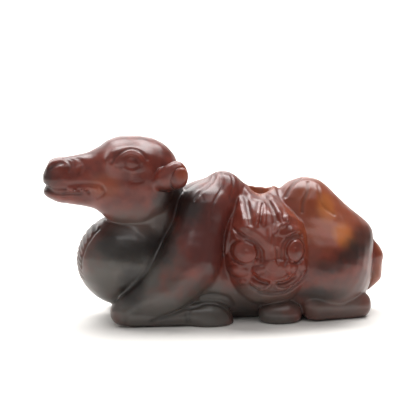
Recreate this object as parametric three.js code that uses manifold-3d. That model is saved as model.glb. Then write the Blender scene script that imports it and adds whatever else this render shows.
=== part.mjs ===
// A carved stone camel lying on its folded legs, with two humps, a saddlebag cut as a beast mask on each
// flank and a cord hole drilled down through the saddle. It is one piece of stone.
// The origin is on the ground under the middle of the figure, +Z is up, the head looks along -X and the
// two flanks face -Y and +Y. Lengths are in millimetres.
import * as THREE from "three";
import { mergeVertices } from "three/addons/utils/BufferGeometryUtils.js";
import Module from "manifold-3d";

const wasm = await Module();
wasm.setup();

// Driving sizes
const LENGTH = 76; // muzzle to tail
const CORD_HOLE = 3.4; // bore from the saddle to the underside
const CORD_MOUTH = 4.8; // the bore's flared top, worn by the cord
const CORD_MOUTH_DEPTH = 2.2;
const LINE_WIDTH = 0.7; // a line cut with a small wheel, round in section
const MASK_RELIEF = 1; // height of the mask's eyes above the bag
const FOLD_WIDTH = 1.2; // the mask's brows, lips and folds, round in section
const EAR_CUP_DEPTH = 1.5; // hollow of the ear, from its rim

// The figure's pose and proportions are shares of its length: 76 shares make the whole camel.
const SHARES = 76;
const SHARE = LENGTH / SHARES;

// Facets: how finely each form's skin is divided
const HEAD_SKIN = { sides: 22, rings: 11, caps: 5 };
const CHEST_SKIN = { sides: 16, rings: 4, caps: 4 };
const TRUNK_SKIN = { sides: 18, rings: 5, caps: 4 };
const REAR_HUMP_SKIN = { sides: 16, rings: 3, caps: 4 };
const FRONT_HUMP_SKIN = { sides: 16, rings: 3, caps: 4 };
const FORELEG_SKIN = { sides: 14, rings: 7, caps: 3 };
const FOREFOOT_SKIN = { sides: 10, rings: 3, caps: 3 };
const HOCK_SKIN = { sides: 10, rings: 2, caps: 3 };
const HINDFOOT_SKIN = { sides: 10, rings: 1, caps: 3 };
const TAIL_SKIN = { sides: 10, rings: 5, caps: 3 };
const EAR_SKIN = { sides: 12, rings: 2, caps: 3 };
const EAR_CUP_FACETS = { sides: 10, rings: 6 };
const BAG_SKIN = { across: 9, up: 10, deep: 8 };
const EYE_FACETS = 1;
const MASK_EYE_FACETS = { sides: 12, rings: 6 };
const LINE_SIDES = 4;
const LINE_STEPS = 4;
const FOLD_SIDES = 5;
const HOLE_SIDES = 16;

const STONE = { color: 0x5a2418, roughness: 0.24, metalness: 0 };

// Forms. Each is a function that tells how far a point (in shares, y taken without its sign) is from the
// form's surface, negative inside, so that forms can melt into one another.
function ball(centre, radii, pitch = 0, yaw = 0) {
  const turn = new THREE.Matrix4().makeRotationZ(-THREE.MathUtils.degToRad(yaw));
  turn.premultiply(new THREE.Matrix4().makeRotationY(THREE.MathUtils.degToRad(pitch)));
  const middle = new THREE.Vector3(...centre);
  const p = new THREE.Vector3();
  return (point) => {
    p.copy(point).sub(middle).applyMatrix4(turn);
    const near = Math.hypot(p.x / radii[0], p.y / radii[1], p.z / radii[2]);
    const slope = Math.hypot(p.x / radii[0] ** 2, p.y / radii[1] ** 2, p.z / radii[2] ** 2);
    return (near * (near - 1)) / (slope + 1e-9);
  };
}

// A round rod from one point to another, with its own radius at each end; wide stretches it sideways.
function limb(from, to, fromRadius, toRadius, wide = 1) {
  const start = new THREE.Vector3(from[0], from[1] / wide, from[2]);
  const along = new THREE.Vector3(to[0], to[1] / wide, to[2]).sub(start);
  const p = new THREE.Vector3();
  return (point) => {
    p.set(point.x, point.y / wide, point.z).sub(start);
    const t = THREE.MathUtils.clamp(p.dot(along) / along.lengthSq(), 0, 1);
    return p.addScaledVector(along, -t).length() - THREE.MathUtils.lerp(fromRadius, toRadius, t);
  };
}

function melt(a, b, width) {
  const share = Math.max(width - Math.abs(a - b), 0) / width;
  return Math.min(a, b) - (share * share * width) / 4;
}

// Joins forms with a soft fillet of the given width between them.
function blend(width, ...forms) {
  return (p) => forms.slice(1).reduce((d, form) => melt(d, form(p), width), forms[0](p));
}

// A rod through several stations, each [x, y, z, radius].
function chain(width, stations, wide = 1) {
  const rods = stations.slice(1).map((to, i) => limb(stations[i], to, stations[i][3], to[3], wide));
  return blend(width, ...rods);
}

// The head: skull, cheeks, muzzle, nose, lips and the brow over the eye.
const skull = blend(2.5, ball([-18.4, 0, 32.7], [8.2, 7, 7.3]), ball([-18.8, 2.6, 28.8], [8.4, 5.2, 7.6]));
const forehead = ball([-22.6, 0, 34.6], [5.2, 5.6, 5]);
const muzzle = blend(2, limb([-27, 0, 31.4], [-33.8, 0, 31.1], 4.9, 4.1, 0.9),
  limb([-25, 0, 28.6], [-33.4, 0, 29], 4.6, 3.4, 0.95));
const nose = blend(0.8, ball([-34.9, 1.7, 33.4], [2.3, 1.7, 1.9]), ball([-36, 1.1, 31.1], [2.1, 2.5, 1.8]),
  ball([-34.7, 0, 28.1], [3.4, 3.1, 1.7]));
const brow = ball([-20.2, 5.6, 35.4], [4.2, 1.9, 2.5]);
const head = blend(1.2, blend(3, blend(2, skull, forehead), muzzle), nose, brow);
const eye = [-19.5, 7.1, 34.8];
const EYE_RADIUS = 1.35;

// The ear, a leaf rolled round a cup that opens to the rear and outwards.
const EAR_LEAN = -22; // degrees, the rim's top towards the tail
const EAR_TURN = -35; // degrees, the cup outwards from the tail
const EAR_RIM = [-8.9, 8.9, 32.5];
const EAR_CUP_RADII = [2.1, 2.5];
const earLeaf = ball([-9.7, 8.4, 32.2], [1.7, 2.3, 3.1], EAR_LEAN, EAR_TURN);
const ear = blend(1.2, limb([-13.8, 5.2, 29.9], [-10.8, 7.9, 31.3], 1.5, 2.6), earLeaf);

// The body: chest with the neck, trunk with the haunches, rear hump, forelegs and front hump. A hump flares
// into what it stands on, which its own skin follows a little below the surface.
const SUNK = 0.5;
const neck = limb([-16.5, 0, 13], [-15.4, 0, 27], 8.8, 7.6, 0.74);
const chest = blend(1, ball([-20.6, 0, 13.2], [10.6, 9.8, 10.6]), neck);
const haunches = blend(4, ball([23.5, 0, 11], [12.4, 12, 11.4]), ball([24, 5.2, 11.5], [9.6, 8.2, 9.3]));
const barrel = limb([-8, 0, 8.6], [25, 0, 8.6], 10.8, 10.8);
const core = blend(2, limb([-6, 0, 17], [14, 0, 17], 5.5, 5.5), limb([-9, 0, 22], [-2, 0, 24], 4, 4));
const trunk = blend(4, blend(2, barrel, core), haunches);
const rumpSlope = limb([20.5, 0, 25.3], [31, 0, 16.3], 4.2, 5, 1.3);
const rearPeak = blend(3, ball([19.3, 0, 17.2], [9, 8.6, 12.1]), rumpSlope);
const rearHump = blend(4, rearPeak, (p) => haunches(p) + SUNK);
const upperForeleg = [[-3.4, 3.6, 23.5, 6], [-7.2, 6.4, 13, 5.9]];
const foreleg = chain(5, [...upperForeleg, [-13, 7.7, 7.2, 4.8], [-21.7, 8.8, 3.1, 3]]);
const frontPeak = limb([0.5, 0, 27.9], [-4, 0, 23], 3.9, 5.6, 1.15);
const frontPeakBack = limb([0.9, 0, 27.3], [1.2, 0, 20], 3.7, 4.2, 1.3);
const frontHump = blend(2.5, blend(2, frontPeak, frontPeakBack), (p) => foreleg(p) + SUNK);
const hoof = ball([-3.2, 9.4, 0.2], [5.1, 3.6, 4.8]);
const forefoot = blend(0.8, limb([-20, 9, 2.2], [-4, 9.4, 2.2], 2.4, 2.6, 1.2), hoof);
const hock = limb([30, 7, 2], [20.6, 9.2, 3.6], 3, 3.8);
const hindfoot = ball([12.2, 9.6, 1.7], [4.8, 3.4, 3.1]);
const tailRoot = [[32.6, 0, 17.5, 2.2], [35.2, 0, 11.5, 2.4]];
const tail = chain(1.5, [...tailRoot, [35, 0, 6.6, 1.8], [34.4, 0, 4.6, 0.8]]);

// The saddlebag, a pear that hangs from the saddle.
const bagBelly = ball([10, 7, 12.6], [10.3, 7.6, 8.9]);
const bag = blend(3, bagBelly, limb([9.8, 5.4, 17.8], [9.4, 0, 23.2], 8.7, 5.4));
const CORD_X = 9.4; // the cord hole's place along the saddle

// The mask on the bag, drawn on the flank in x and z: two round eyes, folds that stand up from the bag, and
// lines cut into it. A fold's girth is a multiple of the fold width.
const MASK_MIDDLE = 9.3; // x of the nose
const maskEyes = [
  { at: [3.9, 16.8], radius: 2.7 },
  { at: [14.5, 16.6], radius: 2.5 },
];
const folds = [
  { girth: 1, along: [[1.8, 19.8], [4.3, 21.1], [6.9, 20.3], [MASK_MIDDLE, 19]] },
  { girth: 1, along: [[MASK_MIDDLE, 19], [11.6, 20.8], [13.8, 21.4], [15.8, 19.6]] },
  { girth: 1.9, along: [[MASK_MIDDLE, 20.4], [MASK_MIDDLE, 17.4], [MASK_MIDDLE, 14.4]] },
  { girth: 1.2, along: [[5.8, 14.8], [7.2, 13.3], [MASK_MIDDLE, 13.1], [11.5, 13.2], [12.9, 14.7]] },
  { girth: 0.9, along: [[3, 13.2], [6, 11.6], [9.5, 10.5], [13.3, 11.3], [16.6, 13.2]] },
  { girth: 0.8, along: [[5.2, 8.2], [9.6, 6.8], [14.8, 7.8]] },
];
const maskLines = [
  [[3.1, 10.3], [5.3, 9.3], [7.7, 8.6], [9.4, 9.6], [11.6, 8.6], [14.5, 9.4], [16.8, 11]],
  [[MASK_MIDDLE, 26], [6.6, 23.8], [5.7, 21.8]],
];

// Skins. A skin is a closed three.js shape whose vertices are moved along straight rays until they lie on
// a form: from the nearest point of a spine for a rod-like form, and from the middle for the bags. The skin
// of a limb ends just past the middle plane.
const BISECTIONS = 22;
const SEARCH_STEPS = 48;
const PAST_MIDDLE = 0.3;

function landOn(form, from, towards, reach) {
  const p = new THREE.Vector3();
  const flank = Math.sign(from.y);
  const inside = (t) => {
    p.copy(from).addScaledVector(towards, t);
    if (p.y * flank < -PAST_MIDDLE) return false;
    p.y = Math.abs(p.y);
    return form(p) < 0;
  };
  let out = reach;
  let step = reach / SEARCH_STEPS;
  while (out > step && !inside(out - step)) out -= step;
  let low = out - step;
  for (let i = 0; i < BISECTIONS; i++) {
    const middle = (low + out) / 2;
    if (inside(middle)) low = middle;
    else out = middle;
  }
  return p.copy(from).addScaledVector(towards, low).clone();
}

function moveVertices(geometry, rayOf, form, reach) {
  const position = geometry.attributes.position;
  const vertex = new THREE.Vector3();
  for (let i = 0; i < position.count; i++) {
    const { from, towards } = rayOf(vertex.fromBufferAttribute(position, i));
    const landed = landOn(form, from, towards, reach).multiplyScalar(SHARE);
    position.setXYZ(i, landed.x, landed.y, landed.z);
  }
  return geometry;
}

// A capsule laid along the spine, from one end to the other, and landed on the form.
function rodSkin(form, from, to, { sides, rings, caps }, reach = 20) {
  const start = new THREE.Vector3(...from);
  const end = new THREE.Vector3(...to);
  const axis = end.clone().sub(start);
  const geometry = new THREE.CapsuleGeometry(1, axis.length(), caps, sides, rings);
  const upright = new THREE.Vector3(0, 1, 0);
  geometry.applyQuaternion(new THREE.Quaternion().setFromUnitVectors(upright, axis.clone().normalize()));
  geometry.translate(...start.clone().add(end).multiplyScalar(0.5).toArray());
  const rayOf = (vertex) => {
    const t = THREE.MathUtils.clamp(vertex.clone().sub(start).dot(axis) / axis.lengthSq(), 0, 1);
    const spinePoint = start.clone().addScaledVector(axis, t);
    return { from: spinePoint, towards: vertex.clone().sub(spinePoint).normalize() };
  };
  return moveVertices(geometry, rayOf, form, reach);
}

// A box blown up round its middle and landed on the form, for the bags and the saddle between them.
function boxSkin(form, middle, size, { across, up, deep }, reach = 24) {
  const geometry = new THREE.BoxGeometry(...size, across, deep, up);
  const from = new THREE.Vector3(...middle);
  return moveVertices(geometry, (vertex) => ({ from, towards: vertex.clone().normalize() }), form, reach);
}

// Solids and their booleans
function solid(geometry) {
  geometry.deleteAttribute("normal");
  geometry.deleteAttribute("uv");
  const merged = mergeVertices(geometry, 1e-4);
  const vertProperties = new Float32Array(merged.attributes.position.array);
  const triVerts = new Uint32Array(merged.index.array);
  return new wasm.Manifold(new wasm.Mesh({ numProp: 3, vertProperties, triVerts }));
}

// The way out of a form at a point in shares.
function slopeOf(form, { x, y, z }) {
  const nudge = 0.02;
  const probe = new THREE.Vector3();
  const reading = (dx, dy, dz) => form(probe.set(x + dx, Math.abs(y + dy), z + dz));
  return new THREE.Vector3(
    reading(nudge, 0, 0) - reading(-nudge, 0, 0),
    reading(0, nudge, 0) - reading(0, -nudge, 0),
    reading(0, 0, nudge) - reading(0, 0, -nudge),
  ).divideScalar(2 * nudge);
}

// Moves a point in shares onto the form, along the form's own slope.
function settle(form, point) {
  const p = new THREE.Vector3(...point);
  for (let i = 0; i < 12; i++) {
    const slope = slopeOf(form, p);
    p.addScaledVector(slope, -form(p) / slope.lengthSq());
  }
  return p;
}

// A rod of the given width whose middle runs on the form's surface.
function surfaceRod(form, points, width, sides, side) {
  const path = points.map((point) => settle(form, point));
  const onSide = path.map((p) => new THREE.Vector3(p.x, p.y * side, p.z).multiplyScalar(SHARE));
  const corners = Array.from({ length: sides }, (_, i) => {
    const turn = (i / sides) * Math.PI * 2;
    return new THREE.Vector2(Math.cos(turn), Math.sin(turn)).multiplyScalar(width / 2);
  });
  return new THREE.ExtrudeGeometry(new THREE.Shape(corners), {
    steps: Math.max(LINE_STEPS, points.length),
    extrudePath: new THREE.CatmullRomCurve3(onSide),
    bevelEnabled: false,
  });
}

// A point of the mask's drawing, laid on the bag.
function onBag([x, z]) {
  const p = landOn(bag, new THREE.Vector3(x, 0.01, z), new THREE.Vector3(0, 1, 0), 20);
  return p.toArray();
}

// One of the mask's eyes, a flattened ball that lies on the bag.
function maskEye({ at, radius }, side) {
  const middle = settle(bag, onBag(at));
  const outwards = slopeOf(bag, middle).normalize();
  outwards.y *= side;
  const eyeball = new THREE.SphereGeometry(1, MASK_EYE_FACETS.sides, MASK_EYE_FACETS.rings);
  eyeball.scale(radius * SHARE, MASK_RELIEF, radius * SHARE);
  eyeball.applyQuaternion(new THREE.Quaternion().setFromUnitVectors(new THREE.Vector3(0, 1, 0), outwards));
  return eyeball.translate(middle.x * SHARE, middle.y * SHARE * side, middle.z * SHARE);
}

// Wheel-cut lines, each on its form: hair on the humps, brow and lid of the eye, mouth and cheek.
const lines = [
  [frontHump, [[-0.8, 0.9, 31.8], [-1.5, 2.9, 31], [-4.4, 6.6, 29.1], [-6.3, 7.8, 26.8]]],
  [frontHump, [[0.3, 2, 31.6], [-0.1, 6, 29.1], [-1.9, 8.4, 27.1], [-2.8, 9.5, 25], [-2.9, 10.4, 22.9]]],
  [frontHump, [[2.3, 0.8, 31.5], [2.4, 4.9, 28.7], [1.9, 6, 27.6]]],
  [rearHump, [[18.1, 1, 29.6], [15.7, 2.6, 28], [14.8, 3.5, 26.4]]],
  [rearHump, [[19.4, 3.2, 29.4], [18.7, 5.4, 27.6], [17.8, 6.2, 26], [17.5, 7.1, 23.8]]],
  [head, [[-23.8, 6.6, 35.3], [-21.5, 6.9, 37.2], [-19.3, 6.4, 37.8], [-17.5, 6.7, 37], [-16.2, 6.9, 35.7]]],
  [head, [[-23, 6.8, 34.2], [-21.2, 7.4, 33.5], [-19.5, 7.6, 33], [-17.6, 7.5, 33.9]]],
  [head, [[-37.4, 1.2, 29.3], [-35.8, 3.1, 28.4], [-33.2, 3.5, 28.1], [-30.9, 3.7, 28], [-28.5, 4.4, 28.4]]],
  [head, [[-30.4, 4.2, 30.5], [-26.6, 5.4, 30.3], [-25.2, 6.2, 28.7], [-27, 4.9, 27.2]]],
];

// The hollow of one ear, an egg whose middle lies on the rim.
function earCup(side) {
  const cup = new THREE.SphereGeometry(1, EAR_CUP_FACETS.sides, EAR_CUP_FACETS.rings);
  cup.scale(EAR_CUP_DEPTH, EAR_CUP_RADII[0] * SHARE, EAR_CUP_RADII[1] * SHARE);
  cup.rotateY(-THREE.MathUtils.degToRad(EAR_LEAN));
  cup.rotateZ(-THREE.MathUtils.degToRad(EAR_TURN) * side);
  const [x, y, z] = EAR_RIM;
  return cup.translate(x * SHARE, y * SHARE * side, z * SHARE);
}

function camelSolid() {
  const pieces = [
    solid(rodSkin(head, [-33.6, 0, 30.8], [-18.6, 0, 31.2], HEAD_SKIN)),
    solid(rodSkin(chest, [-19.6, 0, 12.6], [-16.6, 0, 24], CHEST_SKIN)),
    solid(rodSkin(trunk, [-6, 0, 9], [24, 0, 12.5], TRUNK_SKIN, 26)),
    solid(rodSkin(rearHump, [19.6, 0, 24], [27, 0, 17], REAR_HUMP_SKIN)),
    solid(rodSkin(frontHump, [0.4, 0, 27.6], [-2, 0, 22], FRONT_HUMP_SKIN)),
    solid(boxSkin(bag, [9.6, 0, 15.6], [17, 22, 22], BAG_SKIN)),
    solid(rodSkin(tail, [33, 0, 15.5], [34.4, 0, 5], TAIL_SKIN)),
  ];
  for (const side of [-1, 1]) {
    const on = ([x, y, z]) => [x, y * side, z];
    pieces.push(solid(rodSkin(foreleg, on([-3.4, 3.6, 23.5]), on([-21, 8.6, 3.3]), FORELEG_SKIN)));
    pieces.push(solid(rodSkin(forefoot, on([-19, 9, 2.2]), on([-3.4, 9.4, 1.6]), FOREFOOT_SKIN)));
    pieces.push(solid(rodSkin(hock, on([29.7, 7, 2.1]), on([20.8, 9.2, 3.5]), HOCK_SKIN)));
    pieces.push(solid(rodSkin(hindfoot, on([10.9, 9.6, 1.7]), on([13.5, 9.6, 1.7]), HINDFOOT_SKIN)));
    pieces.push(solid(rodSkin(ear, on([-13.4, 5.6, 30.3]), on([-10.4, 8, 31.8]), EAR_SKIN)));
    maskEyes.forEach((maskEyeball) => pieces.push(solid(maskEye(maskEyeball, side))));
    folds.forEach(({ girth, along }) => {
      pieces.push(solid(surfaceRod(bag, along.map(onBag), girth * FOLD_WIDTH, FOLD_SIDES, side)));
    });
    const eyeball = new THREE.IcosahedronGeometry(EYE_RADIUS * SHARE, EYE_FACETS);
    eyeball.translate(...on(eye).map((share) => share * SHARE));
    pieces.push(solid(eyeball));
  }
  let camel = pieces.reduce((whole, piece) => whole.add(piece));

  const ground = new THREE.BoxGeometry(LENGTH * 2, LENGTH, LENGTH);
  ground.translate(0, 0, -LENGTH / 2);
  camel = camel.subtract(solid(ground));

  const saddleTop = settle(bag, [CORD_X, 0, 29.4]).multiplyScalar(SHARE);
  const bore = new THREE.CylinderGeometry(CORD_HOLE / 2, CORD_HOLE / 2, LENGTH, HOLE_SIDES);
  bore.rotateX(Math.PI / 2).translate(saddleTop.x, 0, 0);
  camel = camel.subtract(solid(bore));
  const aboveMouth = CORD_MOUTH - CORD_HOLE / 2; // the flare's radius as far above the mouth as it goes below
  const flare = new THREE.CylinderGeometry(aboveMouth, CORD_HOLE / 2, CORD_MOUTH_DEPTH * 2, HOLE_SIDES);
  flare.rotateX(Math.PI / 2).translate(saddleTop.x, 0, saddleTop.z);
  camel = camel.subtract(solid(flare));

  for (const side of [-1, 1]) camel = camel.subtract(solid(earCup(side)));
  const cuts = [...lines, ...maskLines.map((line) => [bag, line.map(onBag)])];
  for (const [form, points] of cuts) {
    for (const side of [-1, 1]) {
      camel = camel.subtract(solid(surfaceRod(form, points, LINE_WIDTH, LINE_SIDES, side)));
    }
  }
  return camel;
}

// The finished solid as a mesh. Its vertices are drawn to a fine grid, which closes up the slivers that the
// cuts leave, and a face with two corners on one grid point is dropped.
const GRID = 0.004;

function meshOf(manifold, name) {
  const { numProp, vertProperties, triVerts } = manifold.getMesh();
  const gridPoints = new Map();
  const corners = [];
  const position = [];
  for (const corner of triVerts) {
    const start = corner * numProp;
    const onGrid = Array.from(vertProperties.subarray(start, start + 3), (v) => Math.round(v / GRID));
    const key = onGrid.join(" ");
    if (!gridPoints.has(key)) {
      gridPoints.set(key, gridPoints.size);
      position.push(...onGrid.map((v) => v * GRID));
    }
    corners.push(gridPoints.get(key));
  }
  const index = [];
  for (let i = 0; i < corners.length; i += 3) {
    const face = corners.slice(i, i + 3);
    if (new Set(face).size === 3) index.push(...face);
  }
  const geometry = new THREE.BufferGeometry();
  geometry.setAttribute("position", new THREE.Float32BufferAttribute(position, 3));
  geometry.setIndex(index);
  const mesh = new THREE.Mesh(geometry, new THREE.MeshStandardMaterial(STONE));
  mesh.name = name;
  return mesh;
}

const carving = new THREE.Group();
carving.add(meshOf(camelSolid(), "camel_carving"));

export default carving;
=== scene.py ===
"""A recumbent stone camel, carved finely and polished over its plain solid, on a pale studio floor."""

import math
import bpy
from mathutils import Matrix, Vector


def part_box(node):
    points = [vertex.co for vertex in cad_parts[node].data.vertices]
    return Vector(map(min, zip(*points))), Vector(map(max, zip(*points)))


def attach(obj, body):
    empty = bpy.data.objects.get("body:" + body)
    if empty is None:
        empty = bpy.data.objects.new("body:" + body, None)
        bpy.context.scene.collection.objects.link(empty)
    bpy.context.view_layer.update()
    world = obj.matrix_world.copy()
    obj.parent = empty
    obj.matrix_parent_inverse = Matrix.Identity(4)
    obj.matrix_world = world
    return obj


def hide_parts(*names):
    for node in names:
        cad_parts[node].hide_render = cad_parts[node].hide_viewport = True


bl_info = {
    "name": "Stone camel",
    "version": (1, 0, 0),
    "blender": (4, 5, 0),
    "location": "3D View > Sidebar > Stone camel",
    "description": "Carves, polishes and lights a recumbent stone camel over its plain solid",
    "category": "Object",
}

import bmesh
import bpy
import numpy as np
from bpy.props import FloatProperty, FloatVectorProperty, PointerProperty
from mathutils import Matrix, Vector

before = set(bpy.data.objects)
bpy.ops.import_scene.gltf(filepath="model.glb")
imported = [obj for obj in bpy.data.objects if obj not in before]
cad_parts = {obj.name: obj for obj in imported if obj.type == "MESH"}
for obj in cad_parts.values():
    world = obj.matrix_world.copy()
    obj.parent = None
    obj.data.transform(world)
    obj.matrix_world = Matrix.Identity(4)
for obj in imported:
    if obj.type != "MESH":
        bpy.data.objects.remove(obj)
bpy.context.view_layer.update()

# The figure's proportions are shares of its length, as the solid's are.
NODE = "camel_carving"
LOW, HIGH = (Vector(corner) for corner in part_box(NODE))
FIGURE_SPAN = 76.1  # shares from the lips to the tail
SHARE = (HIGH.x - LOW.x) / FIGURE_SPAN  # one share in metres
MOST_TRIANGLES = 196000
FAR = 9.0  # shares that count as far away
TINY = 1e-9  # keeps a divisor above 0
STROKE_FADE = 2.2  # half widths from its middle at which a stroke of the mask has faded out
LINE_FADE = 3  # the same for a line cut with the wheel
LINE_BAND = 3  # shares from a form's surface within which its lines are worked out


# Forms. A form takes points as three arrays in shares and gives how far each is from the form's surface,
# negative inside. The carving is the same on both flanks, so most forms take y without its sign.
def melt(a, b, width):
    """The nearer of two distances, with the corner between them rounded over the width."""
    share = np.maximum(width - np.abs(a - b), 0) / width
    return np.minimum(a, b) - share * share * width / 4


def blend(width, *forms):
    """Forms melted into one another, in order."""

    def distance(p):
        d = forms[0](p)
        for form in forms[1:]:
            d = melt(d, form(p), width)
        return d

    return distance


def ball(centre, radii, pitch=0, yaw=0):
    """An egg shape, turned about the upright axis by yaw and leaned by pitch, in degrees."""
    turn, lean = math.radians(yaw), math.radians(pitch)

    def distance(p):
        x, y, z = (axis - middle for axis, middle in zip(p, centre))
        x, y = x * math.cos(turn) + y * math.sin(turn), y * math.cos(turn) - x * math.sin(turn)
        x, z = x * math.cos(lean) + z * math.sin(lean), z * math.cos(lean) - x * math.sin(lean)
        near = np.sqrt((x / radii[0]) ** 2 + (y / radii[1]) ** 2 + (z / radii[2]) ** 2)
        slope = np.sqrt((x / radii[0] ** 2) ** 2 + (y / radii[1] ** 2) ** 2 + (z / radii[2] ** 2) ** 2)
        return near * (near - 1) / (slope + TINY)

    return distance


def limb(start, end, start_radius, end_radius, wide=1):
    """A rounded rod that tapers between two radii and is stretched across the body by wide."""
    ax, ay, az = start[0], start[1] / wide, start[2]
    bx, by, bz = end[0] - ax, end[1] / wide - ay, end[2] - az
    length_squared = bx * bx + by * by + bz * bz

    def distance(p):
        x, y, z = p[0] - ax, p[1] / wide - ay, p[2] - az
        t = np.clip((x * bx + y * by + z * bz) / length_squared, 0, 1)
        away = np.sqrt((x - t * bx) ** 2 + (y - t * by) ** 2 + (z - t * bz) ** 2)
        return away - start_radius - (end_radius - start_radius) * t

    return distance


def chain(width, stations, wide=1):
    """Limbs through stations, each with its place and radius."""
    pairs = zip(stations, stations[1:])
    return blend(width, *(limb(a[:3], b[:3], a[3], b[3], wide) for a, b in pairs))


def between(span, form):
    """The form, worked out only within a stretch of x; elsewhere it is far away."""

    def distance(p):
        here = (p[0] > span[0]) & (p[0] < span[1])
        d = np.full(p[0].shape, FAR)
        d[here] = form(tuple(axis[here] for axis in p))
        return d

    return distance


def in_box(p, low, high):
    """Which points lie between two corners of a box."""
    inside = np.ones(p[0].shape, bool)
    for axis, least, most in zip(p, low, high):
        inside &= (axis > least) & (axis < most)
    return inside


def plane_stroke(u, v, points, width):
    """1 on a line of straight pieces in a plane, falling softly to 0 at about twice the width."""
    ends = np.array(points)
    low, high = ends.min(0) - STROKE_FADE * width, ends.max(0) + STROKE_FADE * width
    near = np.flatnonzero((u > low[0]) & (u < high[0]) & (v > low[1]) & (v < high[1]))
    full = np.zeros(u.shape)
    if not near.size:
        return full
    pu, pv = u[near], v[near]
    away = np.full(pu.shape, FAR)
    for (au, av), (bu, bv) in zip(points, points[1:]):
        du, dv = bu - au, bv - av
        t = np.clip(((pu - au) * du + (pv - av) * dv) / (du * du + dv * dv), 0, 1)
        away = np.minimum(away, np.hypot(pu - au - t * du, pv - av - t * dv))
    full[near] = np.exp(-((away / width) ** 2))
    return full


def smooth_line(points, per_piece=5):
    """A rounder line through the points, as more straight pieces."""
    points = [np.array(point, float) for point in points]
    ends = [2 * points[0] - points[1], *points, 2 * points[-1] - points[-2]]
    line = []
    for a, b, c, d in zip(ends, ends[1:], ends[2:], ends[3:]):
        for t in np.linspace(0, 1, per_piece, endpoint=False):
            line.append(0.5 * (2 * b + (c - a) * t + (2 * a - 5 * b + 4 * c - d) * t**2
                               + (3 * b - a - 3 * c + d) * t**3))
    return [*line, points[-1]]


def step(values, low, high):
    """0 at low, 1 at high and smooth in between."""
    t = np.clip((values - low) / (high - low), 0, 1)
    return t * t * (3 - 2 * t)


def settle(form, points, rounds=4, longest=0.5):
    """Moves points along the form's slope until they lie on its surface."""
    points = np.array(points, float)
    nudge, least_slope_squared = 0.01, 0.25
    for _ in range(rounds):
        x, y, z = points.T
        here = form((x, y, z))
        slope = np.stack([form((x + nudge, y, z)), form((x, y + nudge, z)), form((x, y, z + nudge))], 1)
        slope = (slope - here[:, None]) / nudge
        move = -here[:, None] * slope / np.maximum((slope**2).sum(1), least_slope_squared)[:, None]
        reach = np.linalg.norm(move, axis=1)
        move *= np.minimum(1, longest / np.maximum(reach, TINY))[:, None]
        points += move
    return points


# The head, in shares
skull = blend(2.5, ball((-17.8, 0, 32.7), (8.8, 7, 7.25)), ball((-18.6, 2.6, 28.2), (8.6, 5.2, 8.3)))
forehead = ball((-21.8, 0, 34.6), (5, 5.6, 5))
muzzle = blend(2, limb((-27, 0, 31.8), (-33.8, 0, 31.3), 5, 4.2, 0.9),
               limb((-25, 0, 28.6), (-33.4, 0, 29), 4.6, 3.4, 0.95))
nose = blend(0.8, ball((-34.9, 1.7, 33.4), (2.3, 1.7, 1.9)), ball((-36, 1.1, 31.1), (2.1, 2.5, 1.8)),
             ball((-34.7, 0, 28.1), (3.4, 3.1, 1.7)))
brow = ball((-20.2, 5.4, 35.4), (4.2, 1.8, 2.4))
eyeball = ball((-19.5, 6.75, 35.05), (1.05, 1.1, 1))
plain_head = blend(1.2, blend(2.5, blend(2, skull, forehead), brow, muzzle), nose)
EAR_LEAN, EAR_TURN = -30, 65  # degrees
FAR_EAR_FORWARD, FAR_EAR_LOWER = 1.7, 1
CUP_EDGE = 0.4
ear_leaf = blend(1.5, limb((-15, 5.6, 30), (-12.6, 7, 31.2), 1.6, 2.4),
                 ball((-10.6, 7.8, 32.1), (2.5, 2.8, 3.4), EAR_LEAN, EAR_TURN))
ear_cup = ball((-9.6, 9.7, 31.7), (1.9, 1.9, 2.5), EAR_LEAN, EAR_TURN)


def hollow_ear(p):
    """An ear with its cup hollowed out."""
    return -melt(-ear_leaf(p), ear_cup(p), CUP_EDGE)


def ear_place(p):
    """Where a point lies on an ear. The far ear sits further forward and lower, behind the skull."""
    x, y, z = p
    far = y > 0
    return x + FAR_EAR_FORWARD * far, np.abs(y), z + FAR_EAR_LOWER * far


# The body, in shares
chest = blend(1.5, ball((-20.8, 0, 12.9), (10.5, 9.8, 10.2)),
              limb((-16.5, 0, 13), (-15.4, 0, 27), 8.8, 7.6, 0.74))
haunches = blend(4, ball((22.3, 0, 11), (10.6, 12, 11.4)), ball((22.9, 5.4, 11.5), (8.6, 8.1, 9.3)))
barrel = limb((-8, 0, 8.8), (24, 0, 8.8), 10.2, 10.2)
core = blend(2, limb((-6, 0, 17), (14, 0, 17), 5.5, 5.5), limb((-9, 0, 22), (-2, 0, 24), 4, 4))
rear_hump = blend(3, ball((18.6, 0, 17.2), (9, 8.6, 12.7)),
                  limb((20.5, 0, 25.3), (30.2, 0, 16.6), 4.2, 4.9, 1.3))
trunk = blend(4, blend(2, barrel, core), blend(4, haunches, rear_hump))
foreleg = chain(5, [(-3.4, 3.6, 23.5, 6), (-7.2, 6.4, 13, 5.9), (-13, 7.7, 7.2, 4.8), (-21.7, 8.8, 3.1, 3)])
front_hump = blend(2, limb((0.5, 0, 27.9), (-4, 0, 23), 3.9, 5.6, 1.15),
                   limb((1.5, 0, 27.4), (1.6, 0, 20), 3.9, 4.2, 1.25))
shoulder = blend(2.5, front_hump, foreleg)
forefoot = blend(0.8, limb((-20, 9, 2.2), (-4, 9.4, 2.2), 2.4, 2.6, 1.2),
                 ball((-3.2, 9.4, 0.2), (5.1, 3.6, 4.8)))
hock = limb((29.9, 7, 2.6), (20.2, 9.2, 3.2), 3.3, 3.4)
hindfoot = ball((12.2, 9.6, 1.7), (4.8, 3.4, 3.1))
tail = chain(3, [(32.4, 0, 17.5, 2), (34.8, 0, 12.2, 2.1), (34.8, 0, 8, 1.8), (34.1, 0, 5, 0.7)], 1.4)
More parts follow.
